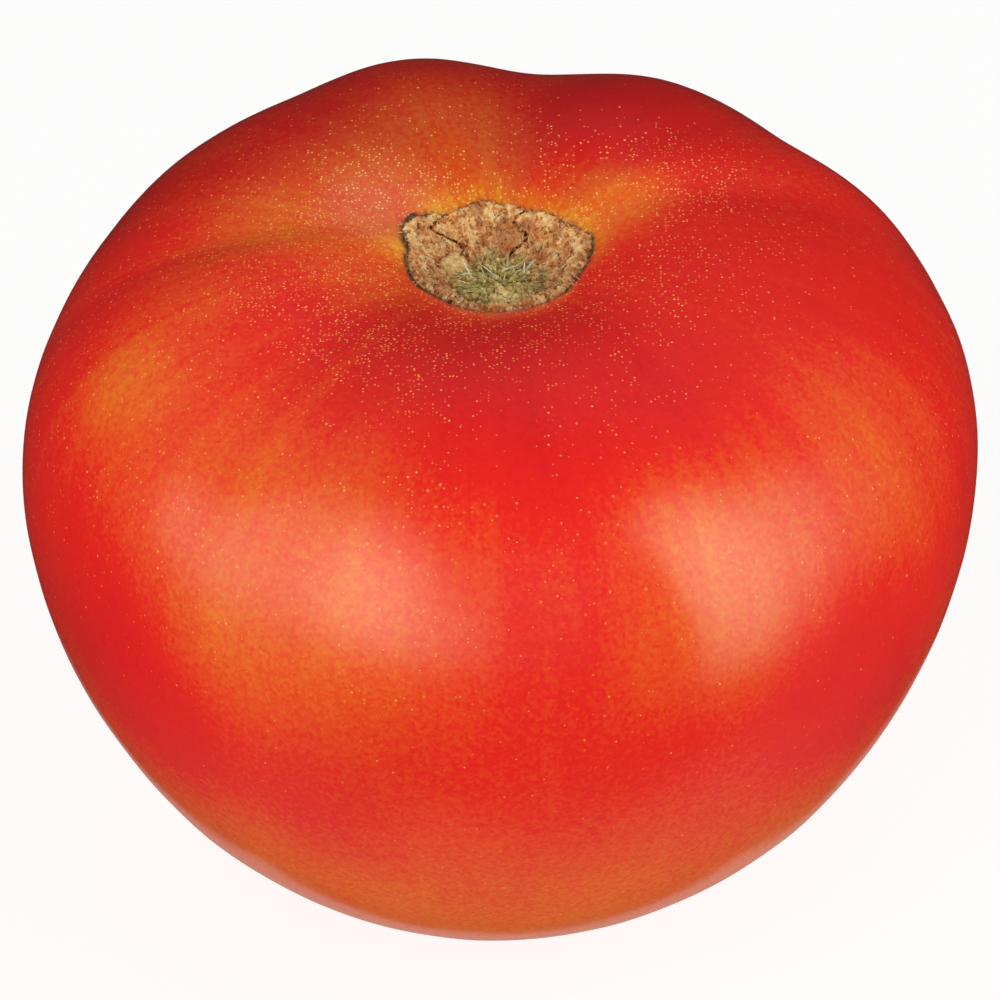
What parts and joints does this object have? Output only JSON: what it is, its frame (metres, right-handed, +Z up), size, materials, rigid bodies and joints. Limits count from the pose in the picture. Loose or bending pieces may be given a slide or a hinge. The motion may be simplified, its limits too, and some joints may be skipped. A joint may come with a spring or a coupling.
{
  "type": "oxheart tomato",
  "caption": "Ripe red oxheart tomato: broad lobed shoulders round a corky stem scar, tapering to a small flat spot that it rests on.",
  "frame": {"origin": "middle of the flat spot at the blossom end, on the surface that the tomato rests on", "axes": "+Z up from the blossom end to the stem scar, -Y the front that the picture shows, +X to the right"},
  "size_m": [0.0991, 0.1015, 0.0786],
  "materials": {
    "skin": "glossy waxy skin, red with orange and gold flecks",
    "stem": "dry torn fibre, matte"
  },
  "bodies": {
    "root": {"fruit": "skin", "stem_stub": "stem"}
  },
  "joints": []
}
